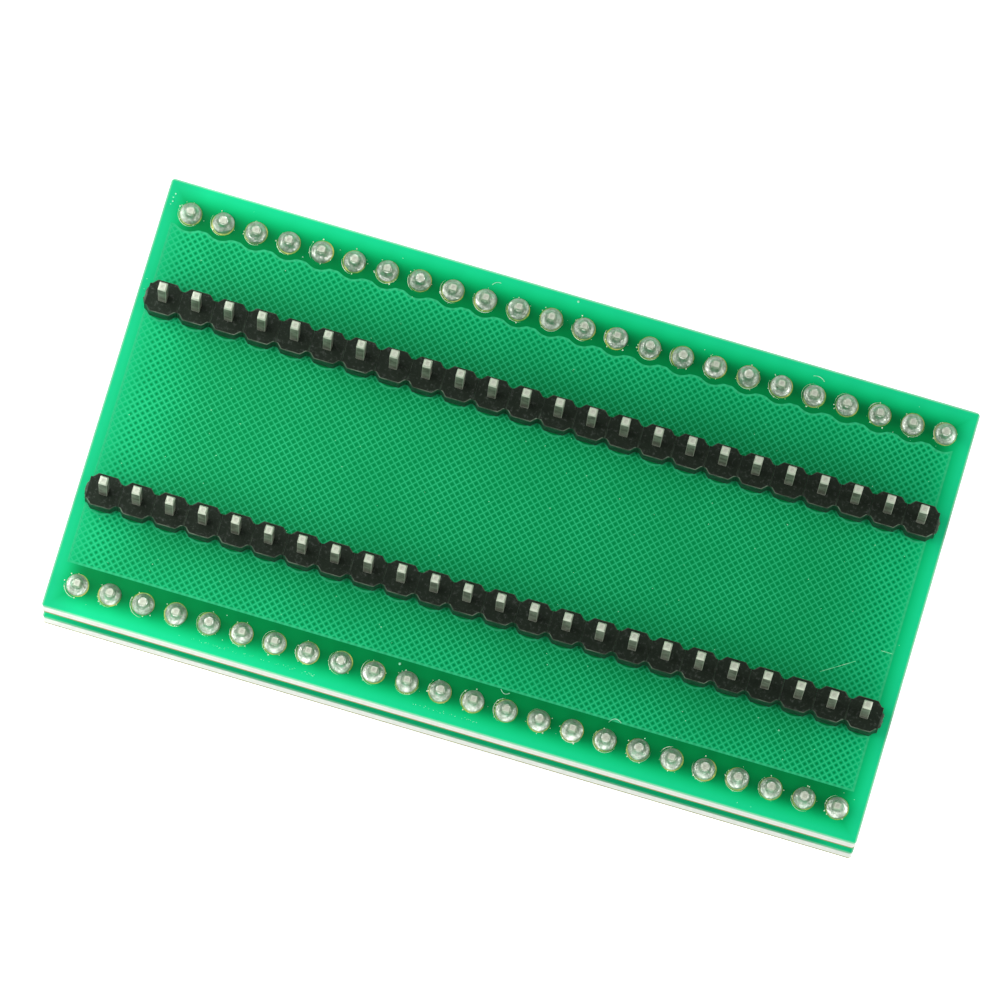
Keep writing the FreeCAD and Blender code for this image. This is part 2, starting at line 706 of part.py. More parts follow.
# The contacts: a fixed part with its tail, and an arm that bends away from the chip.
def near_foot():
    """The outline of a contact's fixed part whose tail is right under its bend."""
    return rectangle(
        "pivot_along - tail_width / 2", "pivot_along + tail_width / 2", "-tail_end", "stub_top"
    )


def far_foot():
    """The outline of a fixed part that steps outward to the outer row of tails."""
    outer = "pivot_along + tail_stagger"
    return [
        (outer + " - tail_width / 2", "-tail_end"),
        (outer + " + tail_width / 2", "-tail_end"),
        (outer + " + tail_width / 2", "foot_top"),
        ("pivot_along + tail_width / 2", "stub_top"),
        ("pivot_along - tail_width / 2", "stub_top"),
        ("pivot_along - tail_width / 2", "foot_under"),
        (outer + " - tail_width / 2", "foot_under"),
    ]


def contact_arm():
    """The outline of the bending arm, from its bend to the nose and to the lever end."""
    return [
        ("pivot_along - arm_root_half", "pivot_up - arm_root_drop"),
        ("pivot_along + arm_root_half", "pivot_up - arm_root_drop"),
        ("pivot_along + lever_bulge", "pivot_up + lever_bulge_up"),
        ("lever_along + lever_tip_half", "lever_up - lever_tip_half"),
        ("lever_along", "lever_up"),
        ("lever_along - lever_tip_half", "lever_up - lever_tip_half"),
        ("pivot_along + crotch_along", "pivot_up + crotch_up"),
        ("pivot_along - shoulder_along", "nose_up + arm_depth"),
        ("nose_along + nose_length", "nose_up + arm_depth"),
        ("nose_along", "nose_up"),
        ("pivot_along - elbow_along", "nose_up"),
    ]


def make_contacts():
    """The two sets of contacts, the right one turned to face the left one."""
    for side, rotation in (("right", TURNED_OVER), ("left", TURNED_OVER_LEFT)):
        body = new_body("contact_feet_" + side, rotation, lift="socket_face")
        for place, profile, start in (
            ("near", near_foot(), "contact_row_half"),
            ("far", far_foot(), "contact_row_half - contact_pitch"),
        ):
            drawing = sketch(body, "foot_%s_%s" % (place, side), [profile], plane="XZ_Plane", lift=start)
            pad(body, drawing, "contact_blade", symmetric=True)
        row(body, "Y_Axis", "contact_count / 2", "2 * contact_pitch")
        body = new_body("contact_arms_" + side, rotation, lift="socket_face")
        drawing = sketch(body, "arm_" + side, [contact_arm()], plane="XZ_Plane", lift="contact_row_half")
        pad(body, drawing, "contact_blade", symmetric=True)
        row(body, "Y_Axis", "contact_count", "contact_pitch")


def check_model():
    """Stops if any feature failed or any piece is empty or not a valid solid."""
    for item in doc.Objects:
        if "Invalid" in item.State or "Error" in item.State:
            raise RuntimeError("%s failed: %s" % (item.Name, item.State))
    for body in bodies:
        shape = body.Shape
        if shape.isNull() or not shape.isValid() or not shape.Solids:
            raise RuntimeError("%s is not a valid solid" % body.Label)


def write_parts():
    """Writes each piece to its own file, named after its label."""
    os.makedirs("parts", exist_ok=True)
    for body in bodies:
        body.Shape.exportStep("parts/%s.step" % body.Label)


fill_sheet()
make_pin_board()
make_socket_board()
make_plug_rows()
make_link_rows()
make_socket_base()
make_chip_seat()
make_socket_cover()
make_springs()
make_contacts()
doc.recompute()
check_model()
write_parts()
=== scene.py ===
"""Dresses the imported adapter: two stacked green boards, their pins, and a chip socket below.

The part lies on its socket's press cover with the plug pins up, as on a bench. Lengths in
this file are millimetres unless a name says metres; a mesh is turned to metres when it is
made. X runs along the pin rows, Y across them, and Z up.
"""

import json
import logging
import math
from dataclasses import dataclass
from enum import Enum

import bpy
import numpy as np
from bpy.types import ID, Material, Node, NodeSocket, NodeTree, Object
from mathutils import Matrix, Vector


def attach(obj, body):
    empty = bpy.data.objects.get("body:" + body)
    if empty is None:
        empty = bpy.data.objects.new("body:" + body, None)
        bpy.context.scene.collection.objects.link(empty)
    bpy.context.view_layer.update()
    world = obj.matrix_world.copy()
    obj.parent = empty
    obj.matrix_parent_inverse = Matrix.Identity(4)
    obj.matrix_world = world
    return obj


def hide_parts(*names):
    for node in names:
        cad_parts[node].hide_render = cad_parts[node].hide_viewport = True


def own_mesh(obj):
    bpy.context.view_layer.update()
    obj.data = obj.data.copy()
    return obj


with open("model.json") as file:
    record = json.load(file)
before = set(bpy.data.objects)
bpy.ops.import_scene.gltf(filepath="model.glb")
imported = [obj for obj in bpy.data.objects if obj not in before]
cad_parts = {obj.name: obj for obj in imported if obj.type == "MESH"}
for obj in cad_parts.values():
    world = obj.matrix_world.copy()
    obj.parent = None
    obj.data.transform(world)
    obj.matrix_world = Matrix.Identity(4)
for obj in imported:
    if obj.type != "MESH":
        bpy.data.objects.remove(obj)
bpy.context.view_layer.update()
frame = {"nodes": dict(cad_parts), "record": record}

LOG = logging.getLogger("adapter")
METRE = 0.001

PITCH = 2.54
PIN_COUNT = 24
ROW_HALF = PITCH * (PIN_COUNT - 1) / 2
PIN_SIDE = 0.64
BOARD_HALF_LENGTH = 31.3
BOARD_HALF_WIDTH = 16.9
BOARD_THICKNESS = 2.0
DIP_ROW = 3 * PITCH
LINK_ROW = BOARD_HALF_WIDTH - 2.25
SOCKET_HEIGHT = 12.0
PLUG_STRIP_HEIGHT = 1.7
LINK_STRIP_HEIGHT = 2.54
PLUG_REACH = 4.1
PLUG_TAIL = 1.2
LINK_REACH = 1.15
LINK_FOOT = 0.06
SPRING_ALONG = 14.0
SPRING_ACROSS = 8.3


class Board(Enum):
    """The faces that other pieces stand on, by their Z."""

    SOCKET_FACE = SOCKET_HEIGHT
    SOCKET_INNER = SOCKET_HEIGHT + BOARD_THICKNESS
    PIN_INNER = SOCKET_HEIGHT + BOARD_THICKNESS + LINK_STRIP_HEIGHT
    PIN_FACE = SOCKET_HEIGHT + 2 * BOARD_THICKNESS + LINK_STRIP_HEIGHT


class Part(Enum):
    """The bodies that pieces ride on."""

    BOARDS = "boards"
    COVER = "cover"


class Slot(Enum):
    """The record's material slots."""

    MASK = "board_mask"
    HEADER = "header_plastic"
    PIN = "tinned_pin"
    SOLDER = "solder"
    SOCKET = "socket_plastic"
    COVER = "cover_plastic"
    SPRING = "spring_steel"
    CONTACT = "contact_gold"


def tone(red: int, green: int, blue: int) -> tuple[float, float, float, float]:
    """Turns a screen colour, 0 to 255, into a shader's linear colour with full alpha."""
    parts = np.array([red, green, blue], float) / 255
    linear = np.where(parts <= 0.04045, parts / 12.92, ((parts + 0.055) / 1.055) ** 2.4)
    return (*map(float, linear), 1.0)


def pin_places() -> np.ndarray:
    """The X of every pin in a row."""
    return np.arange(PIN_COUNT) * PITCH - ROW_HALF


def circle(count: int) -> np.ndarray:
    """Angles that stand evenly round a circle."""
    return np.linspace(0, 2 * np.pi, count, endpoint=False)


# Meshes worked out as whole arrays.


def stack_faces(shapes: int, rings: int, around: int) -> list[list[int]]:
    """The faces of closed shapes that are each made of rings of points.

    Corner (s, r, a) has number (s * rings + r) * around + a. Each quad joins a ring to the
    next one up, and the first and last ring of every shape are closed with one flat face.

    Args:
        shapes: How many shapes there are.
        rings: How many rings each has.
        around: How many points each ring has.

    Returns:
        The corners of every face, turning so that normals point outwards.
    """
    shape, ring, point = np.meshgrid(
        np.arange(shapes), np.arange(rings - 1), np.arange(around), indexing="ij"
    )
    low = (shape * rings + ring) * around
    following = (point + 1) % around
    quads = np.stack(
        [low + point, low + following, low + around + following, low + around + point], -1
    ).reshape(-1, 4)
    first = np.arange(shapes)[:, None] * rings * around
    bottom = first + np.arange(around)[::-1]
    top = first + (rings - 1) * around + np.arange(around)
    return quads.tolist() + bottom.tolist() + top.tolist()


def new_object(name: str, data: ID) -> Object:
    """Makes an object from its data and links it to the scene."""
    thing = bpy.data.objects.new(name, data)
    bpy.context.scene.collection.objects.link(thing)
    return thing


def add_mesh(name: str, corners: np.ndarray, faces: list[list[int]], smooth: float) -> Object:
    """Makes an object from points in millimetres.

    Args:
        name: The object's name.
        corners: The corners, in any array shape that ends in 3.
        faces: The corners of each face.
        smooth: Edges that turn by less than this angle in degrees are shaded smooth.

    Returns:
        The object, at the origin, with its place in its mesh.
    """
    mesh = bpy.data.meshes.new(name)
    mesh.from_pydata((corners.reshape(-1, 3) * METRE).tolist(), [], faces)
    mesh.validate()
    thing = new_object(name, mesh)
    if smooth:
        mesh.polygons.foreach_set("use_smooth", np.ones(len(mesh.polygons), bool))
        mesh.set_sharp_from_angle(angle=math.radians(smooth))
    return thing


def stack_mesh(name: str, rings: np.ndarray, smooth: float) -> Object:
    """Makes an object from corners of shape (shapes, rings, around, 3), as add_mesh does."""
    return add_mesh(name, rings, stack_faces(*rings.shape[:3]), smooth)


def rounded_outline(corners: np.ndarray, radius: float, steps: int = 3) -> np.ndarray:
    """Rounds the corners of a flat outline.

    Each corner is replaced by points on the curve that starts on the edge before it and
    ends on the edge after it: q = (1-t)^2 * before + 2t(1-t) * corner + t^2 * after.

    Args:
        corners: The outline's corners, counter-clockwise, shape (n, 2).
        radius: How far from the corner the curve starts.
        steps: Points at each corner.

    Returns:
        The new outline, shape (n * steps, 2).
    """
    back = np.roll(corners, 1, 0) - corners
    ahead = np.roll(corners, -1, 0) - corners
    start = corners + back / np.linalg.norm(back, axis=1, keepdims=True) * radius
    end = corners + ahead / np.linalg.norm(ahead, axis=1, keepdims=True) * radius
    t = np.linspace(0, 1, steps)[None, :, None]
    curve = (1 - t) ** 2 * start[:, None] + 2 * t * (1 - t) * corners[:, None] + t**2 * end[:, None]
    return curve.reshape(-1, 2)


def box_corners(half_x: float, half_y: float) -> np.ndarray:
    """The corners of a rectangle about the origin, counter-clockwise."""
    return np.array([(half_x, -half_y), (half_x, half_y), (-half_x, half_y), (-half_x, -half_y)])


def tubes(paths: np.ndarray, radius: np.ndarray | float, around: int) -> np.ndarray:
    """Carries a circle along each path.

    The circle's plane at each point is across the path's direction, and its first axis lies
    level, so a ring's points are p + radius * (cos a * level + sin a * rise).

    Args:
        paths: Points on the middle lines, shape (shapes, n, 3).
        radius: The tubes' radius, a number or an array of shape (shapes, n).
        around: Points round the circle.

    Returns:
        Rings with shape (shapes, n, around, 3).
    """
    ahead = np.gradient(paths, axis=1)
    ahead /= np.linalg.norm(ahead, axis=2, keepdims=True)
    level = np.cross(ahead, np.array([0.0, 0.0, 1.0]))
    level /= np.maximum(np.linalg.norm(level, axis=2, keepdims=True), 1e-9)
    rise = np.cross(level, ahead)
    angle = circle(around)[:, None]
    ring = np.cos(angle) * level[:, :, None] + np.sin(angle) * rise[:, :, None]
    return paths[:, :, None] + np.broadcast_to(radius, paths.shape[:2])[:, :, None, None] * ring


def points(along: np.ndarray, across: np.ndarray, height: np.ndarray | float) -> np.ndarray:
    """Points from their three parts, each broadcast to one shape."""
    return np.stack(np.broadcast_arrays(along, across, height), -1)


def rounds(
    middles: np.ndarray, radius: np.ndarray, height: np.ndarray, angle: np.ndarray
) -> np.ndarray:
    """Level rings of points round upright axes.

    Args:
        middles: Where the axes stand, shape (n, 2 or 3).
        radius: The rings' radius, in any shape that broadcasts to (n, rings, around).
        height: The rings' height, likewise.
        angle: The angle of each point, shape (around,).

    Returns:
        Rings with shape (n, rings, around, 3).
    """
    along = radius * np.cos(angle) + middles[:, 0, None, None]
    across = radius * np.sin(angle) + middles[:, 1, None, None]
    return points(along, across, height)


def domes(centres: np.ndarray, size: np.ndarray, side: int) -> np.ndarray:
    """Low six-sided domes that stand on a face.

    Args:
        centres: Where each dome's middle meets the face, shape (n, 3).
        size: Each dome's radius, shape (n,).
        side: 1 where the domes stand up from the face and -1 where they hang from it.

    Returns:
        Rings with shape (n, 3, 6, 3).
    """
    spread = np.array([1.0, 0.8, 0.3])[:, None] * size[:, None, None]
    lift = np.array([0.0, 0.6, 0.85])[:, None] * size[:, None, None] * side
    return rounds(centres, spread, centres[:, 2, None, None] + lift, circle(6) * side)


def give_share(thing: Object, name: str, values: np.ndarray) -> None:
    """Keeps one number for each point of a mesh, for its material to read."""
    made = thing.data.attributes.new(name, "FLOAT", "POINT")
    made.data.foreach_set("value", np.ascontiguousarray(values, np.float32).ravel())


# Node trees.


class Graph:
    """A node tree, with short ways to add nodes to it."""

    def __init__(self, tree: NodeTree) -> None:
        """Keeps the tree of a material, a world or a group."""
        self.tree = tree

    def node(self, kind: str, **settings: object) -> Node:
        """Adds a node and sets its properties."""
        made = self.tree.nodes.new(kind)
        for key, value in settings.items():
            setattr(made, key, value)
        return made

    def feed(self, socket: NodeSocket, value: object) -> None:
        """Links a socket to another, or sets its value."""
        if isinstance(value, NodeSocket):
            self.tree.links.new(value, socket)
        else:
            socket.default_value = value

    def math(self, operation: str, *values: object, clamp: bool = False) -> NodeSocket:
        """Adds a Math node, whose inputs are sockets or numbers. A clamped result is 0 to 1."""
        made = self.node("ShaderNodeMath", operation=operation, use_clamp=clamp)
        for socket, value in zip(made.inputs, values):
            self.feed(socket, value)
        return made.outputs[0]

    def times(self, *values: object) -> NodeSocket:
        """The product of two values."""
        return self.math("MULTIPLY", *values)

    def step(
        self, value: object, low: float, high: float, bottom: float = 0.0, top: float = 1.0
    ) -> NodeSocket:
        """A smooth step from bottom at low to top at high."""
        made = self.node("ShaderNodeMapRange", interpolation_type="SMOOTHSTEP")
        for socket, part in zip(made.inputs, (value, low, high, bottom, top)):
            self.feed(socket, part)
        return made.outputs[0]

    def mix(self, factor: object, first: object, second: object) -> NodeSocket:
        """Mixes two colours."""
        made = self.node("ShaderNodeMix", data_type="RGBA")
        self.feed(made.inputs["Factor"], factor)
        self.feed(made.inputs[6], first)
        self.feed(made.inputs[7], second)
        return made.outputs[2]

    def noise(self, place: object, scale: float, detail: float = 3.0, rough: float = 0.55) -> NodeSocket:
        """A noise texture's value."""
        made = self.node("ShaderNodeTexNoise")
        return self.fill(made, Vector=place, Scale=scale, Detail=detail, Roughness=rough).outputs["Fac"]

    def place(self) -> NodeSocket:
        """The point on the piece, in millimetres."""
        made = self.node("ShaderNodeVectorMath", operation="SCALE")
        place = self.node("ShaderNodeTexCoord").outputs["Object"]
        return self.fill(made, Vector=place, Scale=1 / METRE).outputs[0]

    def upward(self) -> NodeSocket:
        """How level the face is: 1 where it looks straight up or down and 0 on a wall."""
        return self.math("ABSOLUTE", self.split(self.node("ShaderNodeTexCoord").outputs["Normal"])[2])

    def share(self, name: str) -> NodeSocket:
        """A number that was kept with give_share."""
        return self.node("ShaderNodeAttribute", attribute_name=name).outputs["Fac"]

    def split(self, vector: NodeSocket) -> tuple[NodeSocket, ...]:
        """The three parts of a vector."""
        made = self.node("ShaderNodeSeparateXYZ")
        self.feed(made.inputs[0], vector)
        return tuple(made.outputs)

    def bump(self, height: object, distance: float, strength: float = 1.0) -> NodeSocket:
        """Turns a height into a normal. The distance is in millimetres."""
        made = self.node("ShaderNodeBump")
        return self.fill(made, Height=height, Distance=distance * METRE, Strength=strength).outputs[0]

    def fill(self, node: Node, **values: object) -> Node:
        """Feeds a node's inputs by name, with _ for each space, and gives the node back."""
        for name, value in values.items():
            self.feed(node.inputs[name.replace("_", " ")], value)
        return node

    def group(self, tree: NodeTree, **values: object) -> Node:
        """Places a shared group and fills its inputs."""
        return self.fill(self.node("ShaderNodeGroup", node_tree=tree), **values)


def new_group(name: str, inputs: dict[str, float], *outputs: str) -> tuple:
    """Starts a shader node group.

    Args:
        name: The group's name.
        inputs: Its number inputs and their starting values, after a Place vector.
        outputs: The names of its number outputs.

    Returns:
        The tree, its graph, the sockets that hold its inputs and its output node.
    """
    tree = bpy.data.node_groups.new(name, "ShaderNodeTree")
    tree.interface.new_socket("Place", in_out="INPUT", socket_type="NodeSocketVector")
    for label, start in inputs.items():
        made = tree.interface.new_socket(label, in_out="INPUT", socket_type="NodeSocketFloat")
        made.default_value = start
    for label in outputs:
        tree.interface.new_socket(label, in_out="OUTPUT", socket_type="NodeSocketFloat")
    graph = Graph(tree)
    return tree, graph, graph.node("NodeGroupInput").outputs, graph.node("NodeGroupOutput")


def speck_group() -> NodeTree:
    """Dust: small round specks, each cell of a scatter holding one of its own size."""
    tree, graph, given, result = new_group("Specks", {"Scale": 1.0, "Size": 0.1, "Share": 0.3}, "Mask")
    spots = graph.node("ShaderNodeTexVoronoi")
    graph.fill(spots, Vector=given["Place"], Scale=given["Scale"])
    chance = graph.split(spots.outputs["Color"])[0]
    kept = graph.math("LESS_THAN", chance, given["Share"])
    reach = graph.times(given["Size"], graph.math("ADD", chance, 0.4))
    near = graph.math("LESS_THAN", spots.outputs["Distance"], reach)
    graph.fill(result, Mask=graph.times(kept, near))
    return tree


def grain_group() -> NodeTree:
    """Moulded or drawn surface: a fine grain height and a broad cloudy value."""
    tree, graph, given, result = new_group("Grain", {"Fine": 8.0, "Broad": 0.3}, "Height", "Cloud")
    fine = graph.noise(given["Place"], given["Fine"])
    broad = graph.noise(given["Place"], given["Broad"], 4.0, 0.6)
    graph.fill(result, Height=fine, Cloud=graph.step(broad, 0.3, 0.7))
    return tree


def hatch_group() -> NodeTree:
    """The copper pour under the mask.

    It is the region between two upright lines and two level ones, with a round bite at each
    plug pin of the upper board and at each joint of the +Y row. Inside it two sets of lines
    cross at 45 degrees and leave round holes; the ridge highlight is a painted highlight
    along the middle of each line. Half is half the distance between two lines.
    """
    tree, graph, given, result = new_group(
        "Copper pour",
        {"Left": -30.43, "Right": 30.07, "Low": -13.14, "High": 13.62, "Bite": 1.34},
        "Mesh", "Ridge", "Inside", "Rim",
    )
    x, y, z = graph.split(given["Place"])
    along = graph.math("WRAP", graph.math("ADD", x, ROW_HALF), PITCH / 2, -PITCH / 2)
    link = graph.math("ABSOLUTE", graph.math("SUBTRACT", y, LINK_ROW))
    plug = graph.math("ABSOLUTE", graph.math("SUBTRACT", graph.math("ABSOLUTE", y), DIP_ROW))
    below = graph.math("LESS_THAN", z, Board.PIN_INNER.value - 0.1)
    across = graph.math("MINIMUM", link, graph.math("ADD", plug, graph.times(below, PITCH)))
    reach = graph.math(
        "SQRT", graph.math("ADD", graph.math("POWER", along, 2.0), graph.math("POWER", across, 2.0))
    )
    bite = graph.math("SUBTRACT", given["Bite"], reach)
    top = graph.math("SMOOTH_MAX", graph.math("SUBTRACT", y, given["High"]), bite, 0.2)
    outside = graph.math("SUBTRACT", x, given["Right"])
    for edge in (
        graph.math("SUBTRACT", given["Left"], x),
        graph.math("SUBTRACT", given["Low"], y),
        top,
    ):
        outside = graph.math("MAXIMUM", outside, edge)
    inside = graph.step(outside, 0.02, -0.02)
    rim = graph.times(graph.step(outside, -0.19, -0.13), inside)
    half = 0.2
    hole = None
    ridge_highlight = None
    for operation in ("ADD", "SUBTRACT"):
        slant = graph.times(graph.math(operation, x, y), math.sqrt(0.5))
        # The middle of each line, which takes the painted ridge highlight.
        line = graph.step(graph.math("ABSOLUTE", graph.math("WRAP", slant, half, -half)), 0.055, 0.02)
        ridge_highlight = line if ridge_highlight is None else graph.math("MAXIMUM", ridge_highlight, line)
        across = graph.math("WRAP", graph.math("ADD", slant, half), half, -half)
        across = graph.math("POWER", across, 2.0)
        hole = across if hole is None else graph.math("SQRT", graph.math("ADD", hole, across))
    copper = graph.step(hole, 0.05, 0.165)
    mesh = graph.times(copper, inside)
    graph.fill(result, Mesh=mesh, Ridge=graph.times(ridge_highlight, inside), Inside=inside, Rim=rim)
    return tree


class Groups:
    """The shared groups, each built once."""

    def __init__(self) -> None:
        """Builds them."""
        self.specks = speck_group()
        self.grain = grain_group()
        self.hatch = hatch_group()


def seen_share(graph: Graph) -> NodeSocket:
    """1 for rays of the camera and of mirror and glass surfaces, else 0."""
    path = graph.node("ShaderNodeLightPath")
    seen = graph.math("MAXIMUM", path.outputs["Is Camera Ray"], path.outputs["Is Glossy Ray"])
    return graph.math("MAXIMUM", seen, path.outputs["Is Transmission Ray"])


def new_material(name: str) -> tuple[Material, Graph, Node]:
    """Starts a material; gives it, its graph and its Principled shader."""
    made = bpy.data.materials.new(name)
    made.use_nodes = True
    return made, Graph(made.node_tree), made.node_tree.nodes["Principled BSDF"]


@dataclass(frozen=True)
class Finish:
    """A surface that becomes one material."""

    name: str

    def build(self, groups: Groups) -> Material:
        """Makes the material, with the shared node groups."""
        made, graph, shader = new_material(self.name)
        self.paint(groups, graph, shader)
        return made

    def paint(self, groups: Groups, graph: Graph, shader: Node) -> None:
        """Fills the inputs of the Principled shader; each finish has its own way."""
        raise NotImplementedError


@dataclass(frozen=True)
class MaskFinish(Finish):
    """Green solder mask over woven board, with a painted glow near its cut edges that stands in for light
    let through the laminate.
    """

    bare: tuple = tone(0, 120, 60)
    hole: tuple = tone(2, 126, 67)
    # Colours of the painted glow near the cut edges.
    painted_glow_near_edge: tuple = tone(2, 190, 108)
    painted_glow_at_edge: tuple = tone(24, 204, 138)
    line: tuple = tone(8, 142, 80)
    line_painted_glow: tuple = tone(14, 204, 132)
    ridge_highlight: tuple = tone(52, 194, 132)
    rim: tuple = tone(56, 184, 128)
    lip: tuple = tone(176, 226, 196)
    shade: tuple = tone(20, 120, 78)
    cut_pale: tuple = tone(240, 246, 236)
    cut_brown: tuple = tone(150, 148, 52)
    reach: float = 2.7

    def glow(self, graph: Graph, x: NodeSocket, y: NodeSocket) -> tuple:
        """How near a point is to a cut edge.

        Returns:
            The distance from the edge and the painted glow, 1 at the edge and 0 at the reach.
        """
        edge = graph.math(
            "MINIMUM",
            graph.math("SUBTRACT", BOARD_HALF_LENGTH, graph.math("ABSOLUTE", x)),
            graph.math("SUBTRACT", BOARD_HALF_WIDTH, graph.math("ABSOLUTE", y)),
        )
        return edge, graph.step(edge, self.reach, 0.2, 0.0, 1.0)

    def paint(self, groups: Groups, graph: Graph, shader: Node) -> None:
        """Lays the pour, the painted edge glow, the dust and the cut edges over each other."""
        place = graph.place()
        x, y, z = graph.split(place)
        pour = graph.group(groups.hatch, Place=place)
        grain = graph.group(groups.grain, Place=place, Fine=1.6, Broad=0.12)
        edge, glow = self.glow(graph, x, y)
        base = graph.mix(pour.outputs["Inside"], self.bare, self.hole)
        # Painted glow: the mask grows lighter towards the cut edges, as light through the laminate would
        # make it.
        base = graph.mix(glow, base, self.painted_glow_near_edge)
        base = graph.mix(graph.math("POWER", glow, 3.0), base, self.painted_glow_at_edge)
        cloud = graph.step(grain.outputs["Cloud"], 0.0, 1.0, 0.8, 1.0)
        mesh = graph.times(pour.outputs["Mesh"], cloud)
        # Painted glow: the copper lines grow lighter within 8 mm of a cut edge.
        copper = graph.mix(graph.step(edge, 8.0, 0.5, 0.0, 0.6), self.line, self.line_painted_glow)
        # Painted highlight along the middle of each copper line.
        copper = graph.mix(graph.times(pour.outputs["Ridge"], 0.6), copper, self.ridge_highlight)
        colour = graph.mix(mesh, base, copper)
        colour = graph.mix(graph.times(pour.outputs["Rim"], 0.55), colour, self.rim)
        colour = graph.mix(graph.step(edge, 0.16, 0.04, 0.0, 0.7), colour, self.lip)
        colour = graph.mix(graph.step(x, -28.0, -31.0, 0.0, 0.3), colour, self.shade)
        dust = graph.group(groups.specks, Place=place, Scale=0.7, Size=0.045, Share=0.2)
        colour = graph.mix(graph.times(dust.outputs["Mask"], 0.6), colour, self.lip)
        flat = graph.step(graph.upward(), 0.4, 0.6)
        level = BOARD_THICKNESS + LINK_STRIP_HEIGHT
        height = graph.math("WRAP", graph.math("SUBTRACT", z, Board.SOCKET_FACE.value), level, 0.0)
        ply = graph.step(graph.noise(place, 2.2, 2.0), 0.55, 0.8, 0.0, 0.15)
        brown = graph.math("ADD", graph.step(height, 0.42, 0.16), ply, clamp=True)
        cut = graph.mix(brown, self.cut_pale, self.cut_brown)
        relief = graph.math("ADD", pour.outputs["Mesh"], graph.times(grain.outputs["Height"], 0.35))
        graph.fill(
            shader,
            Base_Color=graph.mix(flat, cut, colour),
            Roughness=graph.step(flat, 0.0, 1.0, 0.8, 0.32),
            Specular_IOR_Level=0.05,
            Normal=graph.bump(graph.times(relief, flat), 0.01),
        )


@dataclass(frozen=True)
class PlasticFinish(Finish):
    """Moulded plastic with a fine grain, pale scuffs and dust, and where asked, painted highlights on its
    top edges and painted green light on its walls.
    """

    colour: tuple
    scuff: tuple = tone(92, 98, 92)
    # Pale colour of the dust specks, and of the painted edge highlights.
    edge: tuple = tone(112, 128, 110)
    # Painted green light that the board reflects onto the walls.
    side: tuple = tone(20, 66, 44)
    roughness: float = 0.5
    scuffs: float = 0.3
    painted_edge_and_wall_light: bool = False

    def paint(self, groups: Groups, graph: Graph, shader: Node) -> None:
        """Scuffs and dusts the colour, paints highlights on the strip's top edges, and paints the board's
        green light onto the strip's walls.
        """
        place = graph.place()
        grain = graph.group(groups.grain, Place=place, Fine=9.0, Broad=0.9)
        dust = graph.group(groups.specks, Place=place, Scale=2.2, Size=0.07, Share=0.14)
        rubbed = graph.times(graph.step(graph.noise(place, 3.5, 6.0, 0.7), 0.5, 0.75), self.scuffs)
        colour = graph.mix(rubbed, self.colour, self.scuff)
        colour = graph.mix(graph.times(dust.outputs["Mask"], 0.45), colour, self.edge)
        if self.painted_edge_and_wall_light:
            # Painted highlight: the top edges are made pale, most on the -Y side, in patches.
            patchy = graph.step(graph.noise(place, 1.1, 3.0), 0.35, 0.65, 0.25, 0.85)
            colour = graph.mix(graph.times(graph.share("painted_edge_highlight"), patchy), colour, self.edge)
            # Painted reflection: the walls take the board's green.
            colour = graph.mix(graph.step(graph.upward(), 0.5, 0.2, 0.0, 0.7), colour, self.side)
        low = self.roughness - 0.08
        graph.fill(
            shader,
            Base_Color=colour,
            Roughness=graph.step(grain.outputs["Cloud"], 0.0, 1.0, low, self.roughness + 0.1),
            Specular_IOR_Level=0.05,
            Normal=graph.bump(grain.outputs["Height"], 0.02),
        )


@dataclass(frozen=True)
class MetalFinish(Finish):
    """Plated or soldered metal with dull patches; where a mesh keeps a cut share, its cut ends stay bright
    and its corners carry a painted highlight.
    """

    bright: tuple
    dull: tuple
    roughness: float = 0.25
    dull_roughness: float = 0.45
    patch: float = 1.2
    bumps: float = 0.01
    fine: float = 6.0
    metallic: float = 1.0
    keep_bright_ends_and_highlights: bool = False

    def paint(self, groups: Groups, graph: Graph, shader: Node) -> None:
        """Mixes bright and dull metal in patches."""
        place = graph.place()
        grain = graph.group(groups.grain, Place=place, Fine=self.fine, Broad=self.patch)
        dullness = grain.outputs["Cloud"]
        # The cut share keeps the bright ends and the painted corner highlights from dulling.
        if self.keep_bright_ends_and_highlights:
            side = graph.math("SUBTRACT", 1.0, graph.share("cut"))
            dullness = graph.times(graph.step(dullness, 0.0, 1.0, 0.7, 1.0), side)
        graph.fill(
            shader,
            Base_Color=graph.mix(dullness, self.bright, self.dull),
            Roughness=graph.step(dullness, 0.0, 1.0, self.roughness, self.dull_roughness),
            Metallic=self.metallic,
            Normal=graph.bump(grain.outputs["Height"], self.bumps),
        )


@dataclass(frozen=True)
class DebrisFinish(Finish):
    """Flux residue, lint and dust: pale and a little cloudy. On the flux the pale colour is a painted glint.
    """

    pale: tuple
    tinted: tuple
    roughness: float

    def paint(self, groups: Groups, graph: Graph, shader: Node) -> None:
        """Mixes the two colours in clouds."""
        cloud = graph.group(groups.grain, Place=graph.place(), Fine=9.0, Broad=2.0).outputs["Cloud"]
        graph.fill(shader, Base_Color=graph.mix(cloud, self.pale, self.tinted), Roughness=self.roughness)


def dress(thing: Object, material: Material) -> None:
    """Gives an object one material."""
    thing.data.materials.clear()
    thing.data.materials.append(material)


